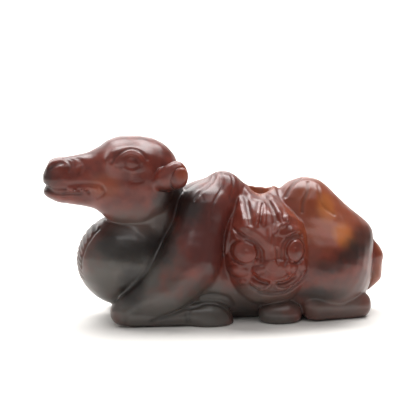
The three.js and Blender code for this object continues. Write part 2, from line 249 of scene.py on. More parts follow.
plain_bag = blend(3, ball((10, 7.1, 12.4), (10.3, 7.7, 9)),
                  limb((9.8, 5.4, 17.8), (9.4, 0, 23.2), 8.7, 5.4),
                  limb((7.5, 4.6, 18.5), (5, 0, 23.6), 7.6, 4.9))

# The stretch of x in which each form is worked out
HEAD_SPAN = (-42, -8)
EAR_SPAN = (-20, -4)
CHEST_SPAN = (-34, -4)
SHOULDER_SPAN = (-28, 12)
FOREFOOT_SPAN = (-26, 6)
BAG_SPAN = (-4, 24)
HINDFOOT_SPAN = (4, 21)
HOCK_SPAN = (12, 36)
TRUNK_SPAN = (-20, 45)
TAIL_SPAN = (28, 45)

# The mask on the bag, drawn on the flank in x and z, in shares. An eye has its middle and radii, a dome
# also its height over the bag.
MASK_EYES = [((3.7, 16.2), (2.4, 2.3)), ((14.5, 16.4), (2, 2.3))]
EYE_EDGE, EYE_EDGE_WIDTH = 1.05, 0.08  # shares of an eye's radius
EYE_BASE, EYE_HEIGHT = 0.1, 0.75
EYE_RINGS = [(1.12, 0.24, -0.3), (0.86, 0.16, 0.12)]  # share of an eye's radius, half width and height
PUPILS = [(3.9, 16.6), (14.4, 16.9)]
PUPIL_RADIUS, PUPIL_DEPTH = 0.3, 0.2
MASK_DOMES = [
    ((9.6, 12.6), (3.9, 2.3), 0.9), ((6.5, 12.7), (1.5, 1.3), 1), ((13.4, 12.8), (1.6, 1.4), 1),
    ((6.2, 14.3), (0.8, 0.7), 0.6), ((2.5, 12), (2, 1.3), 0.4), ((16.5, 12.8), (1.2, 1.6), 0.35),
    ((3.4, 9.7), (0.8, 0.7), 0.45), ((12.6, 20.6), (2.4, 1.2), 0.4), ((13, 23.3), (0.9, 0.8), 0.6),
]
DOME_OVERLAP = 0.3  # share of a dome's height that lifts a dome laid over it
MASK_FADE = (2, 5)  # y at which the mask begins and at which it has its full height
MASK_BAND = 2.5  # shares from the bag's surface within which the mask is worked out
# Each ridge and groove of the mask: its points, half width and height (a groove's is negative).
MASK_STROKES = [
    ([(8.9, 19.5), (8.9, 17), (9, 14)], 1.25, 0.7),
    ([(8.9, 21), (8.9, 17.6)], 0.5, 0.3),
    ([(3, 21.2), (4.9, 21.5), (6.8, 20.3), (8.4, 18.6)], 0.85, 0.38),
    ([(1.8, 20), (2.5, 19.1), (3.9, 18.4), (5.4, 17.7)], 0.42, 0.6),
    ([(2, 20.6), (4.1, 19.5), (6, 18.3), (7.1, 16.7), (7.1, 15.2)], 0.3, -0.38),
    ([(1.3, 14), (3, 13.5), (4.9, 13.9), (5.8, 14.4)], 0.34, 0.5),
    ([(7.3, 16.7), (7.6, 14.5)], 0.3, -0.35),
    ([(10.3, 17), (10.3, 14.2)], 0.3, -0.4),
    ([(11.7, 17), (11.7, 14.5)], 0.25, 0.25),
    ([(13, 14.3), (12.1, 13.1)], 0.4, 0.5),
    ([(5.7, 12.5), (6.5, 11.3), (7.9, 10.5), (9.6, 10.1), (11.7, 10.3), (13.6, 11.2), (14.7, 12.5),
      (15, 13.4)], 0.3, 0.35),
    ([(5.5, 11), (6.9, 10), (8.4, 9.6)], 0.4, -0.55),
    ([(10.8, 9.6), (12.4, 9.7), (14.3, 10.8)], 0.4, -0.55),
    ([(5.1, 9.9), (6.5, 8.6), (7.9, 8.2), (8.8, 9), (9.6, 9.8)], 0.34, 0.55),
    ([(9.6, 9.8), (10.5, 8.7), (11.9, 8.1), (13.6, 8.6), (15.7, 9.9), (16.7, 11.5)], 0.34, 0.55),
    ([(5.2, 8.9), (7.2, 7.5), (9.3, 7.1), (12.6, 7.4), (15.4, 9.1), (16.8, 10.6)], 0.38, -0.55),
    ([(11.2, 15.2), (11.3, 16.9), (11.9, 18.3), (13.1, 19.3), (14.7, 19.7), (16.4, 19)], 0.3, -0.35),
    ([(10.1, 20.4), (11, 21.6), (12.3, 22), (13.3, 22.6)], 0.4, 0.6),
    ([(14, 20.6), (15.5, 20.4)], 0.8, 0.35),
    ([(3.9, 28.9), (3.8, 24.5)], 0.7, 0.6), ([(3.7, 23.4), (3.8, 21.8)], 0.75, 0.55),
    ([(5.2, 28.2), (5.4, 25.1), (5.2, 22)], 0.5, -0.45),
    ([(8.2, 26.6), (7, 24.6), (6.2, 22)], 0.45, 0.45),
    ([(8.4, 25.6), (7.6, 23.9), (7, 22.2)], 0.3, -0.3),
    ([(8.8, 26.4), (8.2, 24.2), (7.8, 22.4)], 0.4, 0.35),
    ([(9.4, 27.6), (10.3, 25.2), (10.9, 22.8)], 0.3, -0.4),
    ([(9.2, 26.4), (10, 24.4), (10.2, 22.4)], 0.45, -0.35),
    ([(9.8, 28.4), (11.2, 25.6), (11.9, 22.3)], 0.65, 0.65),
    ([(3.3, 28.9), (2.5, 25.1), (1.2, 21.5), (0.4, 18.3), (0, 15.4)], 0.32, 0.35),
]
mask_strokes = [(smooth_line(points), width, height) for points, width, height in MASK_STROKES]


def dome(p, centre, radii):
    """How high a round dome stands in x and z, as a share of its height, and how far out a point is."""
    away = ((p[0] - centre[0]) / radii[0]) ** 2 + ((p[2] - centre[1]) / radii[1]) ** 2
    return np.sqrt(np.maximum(0, 1 - away)), np.sqrt(away)


def mask_rise(p):
    """How far the mask stands up from the bag, in shares."""
    x, y, z = p
    rise = np.zeros(x.shape)
    for centre, radii, height in MASK_DOMES:
        rise = np.maximum(rise, rise * DOME_OVERLAP + height * dome(p, centre, radii)[0])
    for points, width, height in mask_strokes:
        rise += height * plane_stroke(x, z, points, width)
    for centre, radii in MASK_EYES:
        up, away = dome(p, centre, radii)
        inside = step(EYE_EDGE - away, 0, EYE_EDGE_WIDTH)
        rise = rise * (1 - inside) + inside * (EYE_BASE + EYE_HEIGHT * up)
        for out, width, height in EYE_RINGS:
            rise += height * np.exp(-(((away - out) * radii[0] / width) ** 2))
    for x_middle, z_middle in PUPILS:
        rise -= PUPIL_DEPTH * np.exp(-((x - x_middle) ** 2 + (z - z_middle) ** 2) / PUPIL_RADIUS**2)
    return rise * step(y, *MASK_FADE)


def bag(p):
    """The bag with its mask."""
    d = plain_bag(p)
    near = (np.abs(d) < MASK_BAND) & (p[1] > MASK_FADE[0])
    d[near] -= mask_rise(tuple(axis[near] for axis in p))
    return d


# Lines cut into the head and body with a small wheel, in shares. Each has its points, half width and
# depth; a negative depth is a fine ridge.
HEAD_LINES = [
    ([(-23.8, 6.6, 35), (-22.6, 6.9, 36.4), (-20.9, 6.7, 37.7), (-19.3, 6.4, 38), (-17.7, 6.7, 37.4),
      (-16.3, 6.9, 35.6)], 0.26, 0.5),
    ([(-22.4, 6.8, 34.8), (-21.3, 7.2, 36), (-19.8, 7.2, 36.75), (-18.2, 7.2, 36.2), (-17.5, 7.2, 35)],
     0.2, -0.14),
    ([(-20.8, 7.2, 35), (-20.5, 7.2, 35.8), (-19.6, 7.2, 36.25), (-18.8, 7.2, 35.9), (-18.3, 7.2, 35.2)],
     0.15, 0.2),
    ([(-20.8, 7.2, 34.8), (-20.3, 7.2, 34.1), (-19.4, 7.4, 33.85), (-18.5, 7.2, 34.3)], 0.15, 0.18),
    ([(-22.8, 6.8, 34.2), (-21.4, 7.2, 34.3)], 0.16, 0.12),
    ([(-21.2, 7.2, 33.9), (-19.6, 7.5, 33.2), (-17.8, 7.5, 33.8)], 0.2, -0.15),
    ([(-37.9, 0.4, 29.6), (-37.2, 1.9, 29.2), (-35.8, 3.1, 28.3), (-33.2, 3.6, 28.1), (-30.9, 3.9, 28),
      (-28.6, 4.6, 28.3)], 0.36, 0.65),
    ([(-37.6, 1.2, 30.2), (-35.8, 3.1, 29.2), (-33.4, 3.8, 29.2)], 0.3, 0.3),
    ([(-32.6, 3.8, 29.3), (-29.7, 4.4, 29.4), (-27.2, 5.2, 29.2)], 0.35, -0.25),
    ([(-33.3, 3.9, 30.1), (-30.1, 4.3, 30.4), (-26.8, 5.4, 30.3), (-25.9, 5.8, 29.8)], 0.34, 0.12),
    ([(-25.9, 5.8, 29.8), (-25.4, 6.1, 28.8), (-26.1, 5.6, 27.9), (-27, 5, 27.2)], 0.32, 0.3),
    ([(-36.5, 2.6, 33.6), (-35.5, 3, 34.3), (-34.3, 2.8, 34.6)], 0.5, 0.75),
    ([(-33.8, 1.4, 35.1), (-32.6, 2.4, 34.7), (-32.3, 3.1, 33.8), (-32.7, 3.4, 33)], 0.3, 0.22),
    ([(-32.9, 1.2, 35.2), (-31.7, 2.2, 34.8), (-31.6, 3, 33.8)], 0.25, 0.12),
    ([(-30.6, 1.8, 35), (-29.5, 3, 34.2), (-30.3, 3.8, 32.6)], 0.45, 0.16),
    ([(-37.2, 0, 32.6), (-38, 0, 31.2), (-38, 0, 29.8)], 0.3, 0.4),
]
TEETH = [(-31.5, 3.9, 28.7), (-29.6, 4.2, 28.6)]
TOOTH_RADII, TOOTH_JOIN = (0.75, 0.5, 0.4), 0.3
EYEBALL_JOIN = 0.25
# The wrinkles below the eye: the height of each, then the box that they lie in, their middle, their spread
# from it, how far they sag there and rise at the spread, where their ends fade, half width and depth
WRINKLES = [32.85, 32.3, 31.8, 31.35, 30.95]
WRINKLE_BOX = (-21, 4, 30), (-16, 20, 34)
WRINKLE_MIDDLE, WRINKLE_SPREAD = -18.6, 1.6
WRINKLE_SAG, WRINKLE_RISE = 0.2, 0.35
WRINKLE_FADE = (1.1, 2)
WRINKLE_WIDTH, WRINKLE_DEPTH = 0.16, 0.13
SHOULDER_LINES = [
    ([(-0.9, 0.6, 31.8), (-1.5, 2.9, 31), (-3.2, 5.4, 30.2), (-4.6, 6.7, 29), (-6.3, 7.8, 26.8)], 0.3, 0.38),
    ([(-4, 6.2, 29.3), (-4.8, 7, 28), (-4.4, 8.5, 27)], 0.22, 0.12),
    ([(0.4, 1.2, 31.6), (0.2, 4, 30.6), (-0.1, 6, 29.1), (-1.7, 8.2, 27.3), (-2.6, 9.2, 25.4),
      (-2.7, 10.4, 22.9)], 0.22, 0.18),
    ([(2.2, 0.8, 31.3), (2.4, 4, 29.4), (2.2, 5.2, 28.2), (1.7, 6.4, 26.8)], 0.22, 0.15),
]
TRUNK_LINES = [
    ([(18.2, 0.8, 29.5), (16.6, 2, 28.8), (15.6, 2.8, 27.8), (14.9, 3.5, 26.2)], 0.4, 0.55),
    ([(19.4, 3, 29.3), (19, 5, 28), (18.4, 5.8, 26.8), (17.6, 6.4, 25.4), (17.4, 7.1, 23.6)], 0.3, 0.35),
    ([(21.4, 3.9, 28.6), (21.5, 5.6, 27.2), (22.1, 7, 24.9), (24.4, 7.4, 23)], 0.4, 0.1),
    ([(-5.5, 10.4, 6.2), (-2.6, 10.6, 6.4), (0.6, 10.6, 5.4), (1.8, 10.4, 3.2)], 0.4, 0.4),
]
TAIL_LINE = ([(33.6, 2.6, 16), (33.6, 3.4, 12), (33.2, 3.4, 8), (32.8, 3.2, 4.6)], 0.8, 0.7)
FOREFOOT_LINES = [
    ([(-8.7, 12.5, 4.4), (-8.8, 12.6, 2.4), (-8.6, 12.3, 0.9)], 0.24, 0.3),
    ([(-7.9, 12.5, 4.4), (-7.8, 12.6, 2.4), (-8, 12.3, 0.9)], 0.24, 0.3),
]
MANE_EDGE = ([(-26.6, 3.9, 20), (-28.6, 4, 17), (-29.9, 4, 14.4), (-30.4, 3.8, 12)], 0.3, 0.32)
# The hatched hair inside that edge: the box that it lies in, y at which it fades, depth of the hatching
# and how fast it waves with height and with y
HAIR_BOX = (-50, -1, 9), (-24, 3.9, 21)
HAIR_FADE = (3.3, 3.9)
HAIR_DEPTH, HAIR_WAVES, HAIR_SLANT = 0.1, 5, 2.4


def scored(form, lines):
    """The form with lines cut into it."""
    ready = [(settle(form, smooth_line(points)), width, depth) for points, width, depth in lines]

    def distance(p):
        d = form(p)
        for points, width, depth in ready:
            reach = LINE_FADE * width
            near = (np.abs(d) < LINE_BAND) & in_box(p, points.min(0) - reach, points.max(0) + reach)
            if not near.any():
                continue
            q = np.stack([axis[near] for axis in p], 1)
            away = np.full(len(q), FAR)
            for a, b in zip(points, points[1:]):
                along = b - a
                t = np.clip((q - a) @ along / (along @ along), 0, 1)
                away = np.minimum(away, np.linalg.norm(q - a - t[:, None] * along, axis=1))
            d[near] += depth * np.exp(-((away / width) ** 2))
        return d

    return distance


def wrinkled_head(p):
    """The head with its eyeball, the wrinkles below it and the teeth at the corner of the mouth."""
    d = blend(EYEBALL_JOIN, plain_head, eyeball)(p)
    below = in_box(p, *WRINKLE_BOX)
    out, z = p[0][below] - WRINKLE_MIDDLE, p[2][below]
    rise = WRINKLE_RISE * (out / WRINKLE_SPREAD) ** 2 - WRINKLE_SAG
    ends = step(-np.abs(out), -WRINKLE_FADE[1], -WRINKLE_FADE[0])
    for height in WRINKLES:
        d[below] += WRINKLE_DEPTH * ends * np.exp(-(((z - height - rise) / WRINKLE_WIDTH) ** 2))
    for tooth in TEETH:
        d = melt(d, ball(tooth, TOOTH_RADII)(p), TOOTH_JOIN)
    return d


head = scored(wrinkled_head, HEAD_LINES)


def maned_chest(p):
    """The chest with a narrow band of hatched hair down the front of the throat."""
    d = chest(p)
    front = in_box(p, *HAIR_BOX)
    y, z = p[1][front], p[2][front]
    ends = step(-y, -HAIR_FADE[1], -HAIR_FADE[0])
    d[front] += HAIR_DEPTH * np.sin(z * HAIR_WAVES + y * HAIR_SLANT) * ends
    return d


lined_shoulder = scored(shoulder, SHOULDER_LINES)
lined_forefoot = scored(forefoot, FOREFOOT_LINES)
# The forms that make the camel, each with how softly it melts into those before it
camel_forms = [
    (0.25, between(HEAD_SPAN, head)),
    (0.35, between(CHEST_SPAN, scored(maned_chest, [MANE_EDGE]))),
    (0.35, between(TRUNK_SPAN, scored(trunk, [*TRUNK_LINES, TAIL_LINE]))),
    (0.8, between(SHOULDER_SPAN, lined_shoulder)),
    (0.3, between(FOREFOOT_SPAN, lined_forefoot)),
    (0.4, between(HOCK_SPAN, hock)),
    (0.3, between(HINDFOOT_SPAN, hindfoot)),
    (0.3, between(BAG_SPAN, bag)),
    (0.3, between(TAIL_SPAN, tail)),
]
EAR_JOIN = 0.2
# The cord hole, the saddle's edge over it, its worn side and the edge on the ground
HOLE_X = 9.4
HOLE_RADIUS = 1.75
HOLE_FLARE = 0.8  # how much larger the radius is at the mouth
HOLE_EDGE = 0.5
MOUTH, MOUTH_DEPTH = 28.4, 2.2
GROUND_EDGE = 0.5
WEAR_EDGE = 1
LIPS_BOX = (2, -1, 20), (17, 8, 50)  # where the saddle's edge is worked out
LIPS_JOIN = 1.2
saddle_lips = blend(0.8, limb((5.1, 0, 27.8), (4.4, 4.6, 24.8), 1.6, 1.3),
                    limb((12.2, 0, 27.4), (12.4, 4.6, 25), 1.1, 0.8))
cord_wear = limb((8.7, 0.4, 31.5), (8.7, -5.5, 29), 3.1, 2.9)


def joined(p):
    """All the forms melted together, with the saddle's edge over the cord hole."""
    d = np.full(p[0].shape, FAR)
    for width, form in camel_forms:
        d = melt(d, form(p), width)
    near = in_box(p, *LIPS_BOX)
    top = tuple(axis[near] for axis in p)
    d[near] = melt(d[near], saddle_lips(top), LIPS_JOIN)
    return d


FOOT_LINES = [
    ([(-16.1, 11.6, 1.5), (-11.7, 12, 3.1), (-7.2, 11.8, 4.7), (-4.8, 11, 5.2), (-1.7, 10.8, 4.7),
      (0.6, 10.8, 3), (1.9, 10.6, 1)], 0.4, 0.5),
]
lined = scored(joined, FOOT_LINES)
whole_ear = between(EAR_SPAN, hollow_ear)


def camel(p):
    """The carved camel with its flat underside and its cord hole, worn lower on the near side."""
    x, y, z = p
    d = melt(lined((x, np.abs(y), z)), whole_ear(ear_place(p)), EAR_JOIN)
    d = -melt(-d, cord_wear(p), WEAR_EDGE)
    d = -melt(-d, z, GROUND_EDGE)
    hole = np.hypot(x - HOLE_X, y) - HOLE_RADIUS - HOLE_FLARE * step(z, MOUTH - MOUTH_DEPTH, MOUTH)
    return -melt(-d, hole, HOLE_EDGE)


# Round lumps joined to the solid before it is remeshed, where the carving stands out from it (the ears and
# the saddle's edge): the middle and reach of each, in shares.
LUMPS = [
    ((-11, -7.9, 32.1), (3, 3, 3.6)), ((-12.7, 7.9, 31.1), (3, 3, 3.6)),
    ((5.2, 0, 27.6), (1.5, 4.5, 1.6)), ((12.2, 0, 27.4), (1.1, 4.5, 1.2)), ((3.6, 0, 25), (2, 5, 2.5)),
]
LUMP_SUBDIVISIONS = 3
MERGE_DISTANCE = 0.002  # shares


def rough_shape():
    """A copy of the solid, its loose triangles merged, with the lumps joined to it."""
    shape = bmesh.new()
    shape.from_mesh(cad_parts[NODE].data)
    bmesh.ops.remove_doubles(shape, verts=shape.verts, dist=MERGE_DISTANCE * SHARE)
    for middle, reach in LUMPS:
        size = Matrix.Diagonal((*(r * SHARE for r in reach), 1))
        place = Matrix.Translation(Vector(middle) * SHARE)
        bmesh.ops.create_icosphere(shape, subdivisions=LUMP_SUBDIVISIONS, radius=1, matrix=place @ size)
    mesh = bpy.data.meshes.new("carved_camel")
    shape.to_mesh(mesh)
    shape.free()
    return mesh


def mesh_points(mesh):
    """The mesh's points, one to a row."""
    points = np.empty(len(mesh.vertices) * 3)
    mesh.vertices.foreach_get("co", points)
    return points.reshape(-1, 3)


def set_mesh_points(mesh, points):
    """Moves the mesh's points to new places."""
    mesh.vertices.foreach_set("co", np.ascontiguousarray(points, dtype=np.float32).ravel())
    mesh.update()


def applied(piece, kind, **settings):
    """Gives the piece a modifier and keeps the mesh that it makes."""
    modifier = piece.modifiers.new(kind.title(), kind)
    for name, value in settings.items():
        setattr(modifier, name, value)
    depsgraph = bpy.context.evaluated_depsgraph_get()
    made = bpy.data.meshes.new_from_object(piece.evaluated_get(depsgraph))
    piece.modifiers.remove(modifier)
    old, piece.data = piece.data, made
    bpy.data.meshes.remove(old)


UNEVENNESS = 0.03


def handmade(points):
    """The slight unevenness of a surface ground and polished by hand, in shares."""
    x, y, z = points.T
    waves = np.sin(1.7 * x + 0.9 * y + 0.4) * np.sin(1.3 * z - 0.7 * y)
    waves += 0.6 * np.sin(0.8 * y + 2.3 * z + 0.5 * x)
    return UNEVENNESS * waves


# Materials
MIX_A, MIX_B, MIX_RESULT = 6, 7, 2  # the colour sockets of a Mix node
NOISE_DETAIL, NOISE_MIDDLE = 3.0, 0.5


class Value:
    """A socket of a shader, so that shader maths can be written as an expression."""

    def __init__(self, shader, socket):
        self.shader, self.socket = shader, socket

    def maths(self, operation, a, b):
        return self.shader.node("ShaderNodeMath", {"operation": operation}, {0: a, 1: b})

    def __add__(self, other):
        return self.maths("ADD", self, other)

    def __sub__(self, other):
        return self.maths("SUBTRACT", self, other)

    def __rsub__(self, other):
        return self.maths("SUBTRACT", other, self)

    def __mul__(self, other):
        return self.maths("MULTIPLY", self, other)

    __radd__, __rmul__ = __add__, __mul__


class Shader:
    """A material whose nodes are added one way."""

    def __init__(self, name):
        self.material = bpy.data.materials.new(name)
        self.material.use_nodes = True
        self.tree = self.material.node_tree
        self.surface = self.tree.nodes["Principled BSDF"]

    def node(self, kind, settings=None, inputs=None, output=0):
        made = self.tree.nodes.new(kind)
        for name, value in (settings or {}).items():
            setattr(made, name, value)
        for name, value in (inputs or {}).items():
            self.feed(made.inputs[name], value)
        return Value(self, made.outputs[output])

    def feed(self, socket, value):
        if isinstance(value, Value):
            self.tree.links.new(value.socket, socket)
        else:
            socket.default_value = value

    def ramp(self, value, low, high):
        """0 at low, 1 at high and smooth in between."""
        return self.node("ShaderNodeMapRange", {"interpolation_type": "SMOOTHSTEP"},
                         {"Value": value, "From Min": low, "From Max": high})

    def mix(self, share, a, b):
        return self.node("ShaderNodeMix", {"data_type": "RGBA"}, {0: share, MIX_A: a, MIX_B: b}, MIX_RESULT)

    def noise(self, place, scale):
        return self.node("ShaderNodeTexNoise", {},
                         {"Vector": place, "Scale": scale, "Detail": NOISE_DETAIL})


# Stains and painted light: the natural clouds of colour in the stone, with patches of painted shade, painted
# light and painted reflection of the pale floor among them, each marked below. Each has its middle and reach
# in shares, x, y and z, its colour (linear red, green and blue, and 1) and its strength.
DARK = (0.012, 0.008, 0.007, 1)
# Smoke: the stone's smoky grey on the chest, and a painted reflection of the pale floor on the lower parts
SMOKE_AND_FLOOR_REFLECTION = (0.085, 0.074, 0.066, 1)
# Ash grey: a painted reflection of the pale floor on surfaces low on the body and facing down
FLOOR_REFLECTION_GREY = (0.11, 0.075, 0.065, 1)
MAROON = (0.08, 0.022, 0.019, 1)
ORANGE = (0.3, 0.07, 0.02, 1)
HONEY = (0.5, 0.16, 0.03, 1)
RUSSET = (0.2, 0.04, 0.02, 1)
STAINS_AND_PAINTED_LIGHT = [
    ((-5, 0, 20), (8, 30, 12), MAROON, 0.9),
    # Smoky grey over the chest: partly the stone's tone, partly a painted reflection of the pale floor
    ((-21, 0, 12), (14, 30, 13), SMOKE_AND_FLOOR_REFLECTION, 1),
    ((-22, 0, 18), (8, 30, 5), DARK, 0.8),
    # Painted reflection of the pale floor: greyer low on the foreleg, hoof and belly
    ((-9, 0, 3.5), (24, 30, 9), SMOKE_AND_FLOOR_REFLECTION, 1),
    # Painted shade: a dark band down the crease between the neck, the chest and the foreleg
    ((-9.4, 0, 25.8), (5.6, 30, 6.2), DARK, 0.9),
    ((-14.2, 0, 19), (4.4, 30, 6.5), DARK, 0.95),
    ((-19.8, 0, 9), (3.2, 30, 5.5), DARK, 0.85),
    ((-38, 0, 31), (3.5, 8, 3.8), DARK, 0.75),
    ((-25.2, -5, 29.8), (4, 6, 3), ORANGE, 0.4),
    # Painted reflection of the pale floor: greyer under the jaw and down the neck
    ((-18, 0, 22.5), (9, 12, 5), FLOOR_REFLECTION_GREY, 0.7),
    # Painted light and shade inside the ear's cup: lit orange at its upper side, dark shade at its lower side
    ((-9.3, -9.4, 32.6), (1.9, 2.2, 2.2), ORANGE, 0.7),
    ((-10.7, -8.2, 31), (1.7, 1.9, 1.7), DARK, 0.9),
    ((9.5, 0, 15), (10, 18, 11), RUSSET, 0.85),
    ((9.5, 0, 27), (3.4, 3.4, 5), ORANGE, 1),
    ((22, 0, 20.5), (12, 16, 12), ORANGE, 0.6),
    # Painted reflection of the pale floor: greyer low on the haunches
    ((24, 0, 3.5), (14, 30, 8), FLOOR_REFLECTION_GREY, 0.85),
    # Painted reflection of the pale floor: greyer on the lower part of the bag
    ((8.8, 0, 4.6), (10, 26, 6.2), FLOOR_REFLECTION_GREY, 0.9),
    # Painted shade on the belly under the bag, near the ground
    ((8, 0, 2.5), (17, 12.5, 5), DARK, 0.85),
    # Painted shade in the crease above the hind shank
    ((20.3, 0, 6.3), (6.5, 30, 2.3), DARK, 0.75),
    # Painted reflection of the pale floor: greyer along the very bottom
    ((11, 0, 0), (7, 30, 3.4), SMOKE_AND_FLOOR_REFLECTION, 0.8),
    ((22.6, -6, 24.4), (2.8, 8, 3.4), HONEY, 0.45),
    ((25.8, -8, 18.4), (3, 8, 3), HONEY, 0.5),
    ((30.8, 0, 17), (4.6, 30, 3.6), DARK, 0.65),
    ((27, 0, 14.8), (4.8, 30, 3), DARK, 0.8),
    ((22.6, 0, 12.6), (4.6, 30, 2.4), DARK, 0.6),
    ((36.5, 0, 9.5), (3.2, 5, 7), ORANGE, 0.75),
]
PATCH_EDGE = (0.45, 1.2)  # where each stain and each patch of painted light starts to fade and where it has gone, as shares of its reach
VEIL, FRAY = 0.7, 0.35  # how far coarse and fine noise bend that edge, as shares of its reach
TONE_EDGE = (0.3, 0.7)  # noise at which the stone is in its deep tone and in its clear one
CLOUD_SCALE, GRAIN_SCALE, WEAR_SCALE, PORE_SCALE = 0.16, 0.35, 0.6, 2.2  # waves of noise in one share
WEAR = 0.08  # how far the polish varies
CUT_DARKENING, DULLNESS = 0.6, 0.2  # how much darker and how much rougher the bottom of a cut is
BUMP_STRENGTH, BUMP_HEIGHT = 0.05, 0.25  # relief of the pores and its height in shares
GLOW_SCALE = 1.2  # how far light goes into the stone, in shares
GLOW_RADIUS = (1.0, 0.35, 0.2)  # how much of that red, green and blue light goes


def stone_material(settings):
    """Polished stone in two tones, with its stains and patches of painted light, and darker towards the
    bottoms of the carved lines.
    """
    shader = Shader("stone")
    place = shader.node("ShaderNodeTexCoord", output="Object")
    in_shares = shader.node("ShaderNodeVectorMath", {"operation": "SCALE"}, {0: place, "Scale": 1 / SHARE})
    clouds = shader.noise(in_shares, CLOUD_SCALE)
    grain = shader.noise(in_shares, GRAIN_SCALE)
    deep, clear = (*settings.deep_colour, 1), (*settings.stone_colour, 1)
    colour = shader.mix(shader.ramp(grain, *TONE_EDGE), deep, clear)
    # Each stain, and each patch of painted shade, painted light and painted floor reflection, is mixed over
    # the stone
    for middle, reach, patch_colour, strength in STAINS_AND_PAINTED_LIGHT:
        away = shader.node("ShaderNodeVectorMath", {"operation": "SUBTRACT"}, {0: in_shares, 1: middle})
        shrink = tuple(1 / r for r in reach)
        away = shader.node("ShaderNodeVectorMath", {"operation": "MULTIPLY"}, {0: away, 1: shrink})
        away = shader.node("ShaderNodeVectorMath", {"operation": "LENGTH"}, {0: away}, "Value")
        veiled = away + (clouds - NOISE_MIDDLE) * VEIL + (grain - NOISE_MIDDLE) * FRAY
        share = (1 - shader.ramp(veiled, *PATCH_EDGE)) * strength
        colour = shader.mix(share, colour, patch_colour)
    cut = shader.node("ShaderNodeAttribute", {"attribute_name": "cut"}, output="Fac")
    # Darker towards the bottom of each carved line
    colour = shader.mix(cut * CUT_DARKENING, colour, DARK)
    shader.feed(shader.surface.inputs["Base Color"], colour)
    wear = shader.noise(in_shares, WEAR_SCALE)
    roughness = settings.roughness + (wear - NOISE_MIDDLE) * WEAR + cut * DULLNESS
    shader.feed(shader.surface.inputs["Roughness"], roughness)
    pores = shader.noise(in_shares, PORE_SCALE)
    bump = shader.node("ShaderNodeBump", {},
                       {"Strength": BUMP_STRENGTH, "Distance": BUMP_HEIGHT * SHARE, "Height": pores})
    shader.feed(shader.surface.inputs["Normal"], bump)
    constants = {"IOR": 1.5, "Subsurface Weight": 0.3, "Subsurface Radius": GLOW_RADIUS,
                 "Subsurface Scale": GLOW_SCALE * SHARE}
    for name, value in constants.items():
        shader.surface.inputs[name].default_value = value
    return shader.material


class CarvingSettings(bpy.types.PropertyGroup):
    """Mesh sizes, colours and polish of the carving"""

    rough_grid: FloatProperty(name="Rough grid", description="Spacing of the first, coarser mesh",
                              default=0.45 * SHARE, subtype="DISTANCE", unit="LENGTH", precision=5)
    grid: FloatProperty(name="Carving grid", description="Spacing of the fine mesh before it is thinned",
                        default=0.26 * SHARE, subtype="DISTANCE", unit="LENGTH", precision=5)
    stone_colour: FloatVectorProperty(name="Stone", description="Clear red-brown of the stone",
                                      subtype="COLOR", size=3, default=(0.17, 0.03, 0.018), min=0, max=1)
    deep_colour: FloatVectorProperty(name="Deep stone", description="Darker cloud in the stone",
                                     subtype="COLOR", size=3, default=(0.1, 0.018, 0.012), min=0, max=1)
    roughness: FloatProperty(name="Polish", description="Roughness of the polished surface", default=0.3,
                             min=0, max=1, subtype="FACTOR")


class StageSettings(bpy.types.PropertyGroup):
    """Floor and camera"""

    floor_size: FloatProperty(name="Floor", description="Half the width of the pale floor", default=2,
                              subtype="DISTANCE", unit="LENGTH")
    azimuth: FloatProperty(name="Azimuth", description="Camera's turn from the -Y side",
                           default=math.radians(-8), subtype="ANGLE", unit="ROTATION")
    elevation: FloatProperty(name="Elevation", description="Camera's height above the horizon",
                             default=math.radians(10), subtype="ANGLE", unit="ROTATION")
    distance: FloatProperty(name="Distance", description="From the camera to the carving", default=0.255,
                            subtype="DISTANCE", unit="LENGTH")
    lens: FloatProperty(name="Lens", description="Focal length in millimetres of a 36 mm film", default=100.9)


CUT_BAND = (-3, 0.9)  # shares from the plain form within which a cut is looked for
FULL_CUT, MOST_CUTS = 0.45, 3  # depth that counts as a whole cut, and how many count before the weight


def cut_depth(points):
    """How deep each point lies in a carved line, 0 on the open surface and 1 at the bottom of a line."""
    x, y, z = points.T
    p, on_ear = (x, np.abs(y), z), ear_place((x, y, z))
    depth = np.zeros(len(points))
    # Where the points lie, the form before and after it is cut, and how much darker its cuts are made
    carvings = [
        (p, between(HEAD_SPAN, wrinkled_head), head, 0.8),
        (p, between(BAG_SPAN, plain_bag), bag, 0.35),
        (p, between(TRUNK_SPAN, trunk), scored(trunk, TRUNK_LINES), 1),
        (p, joined, lined, 1),
        (p, between(SHOULDER_SPAN, shoulder), lined_shoulder, 1),
        (p, between(FOREFOOT_SPAN, forefoot), lined_forefoot, 1),
        (on_ear, between(EAR_SPAN, ear_leaf), hollow_ear, 0.25),
    ]
    for place, smooth, carved, weight in carvings:
        before = smooth(place)
        near = (before > CUT_BAND[0]) & (before < CUT_BAND[1])
        after = carved(tuple(axis[near] for axis in place))
        cuts = np.minimum((after - before[near]) / FULL_CUT, MOST_CUTS)
        depth[near] = np.maximum(depth[near], weight * cuts)
    return np.clip(depth, 0, 1)


GROUND_BAND = 0.05  # shares over the ground within which the underside stays flat
MARGIN = 0.01  # shares between the carving and its solid's box


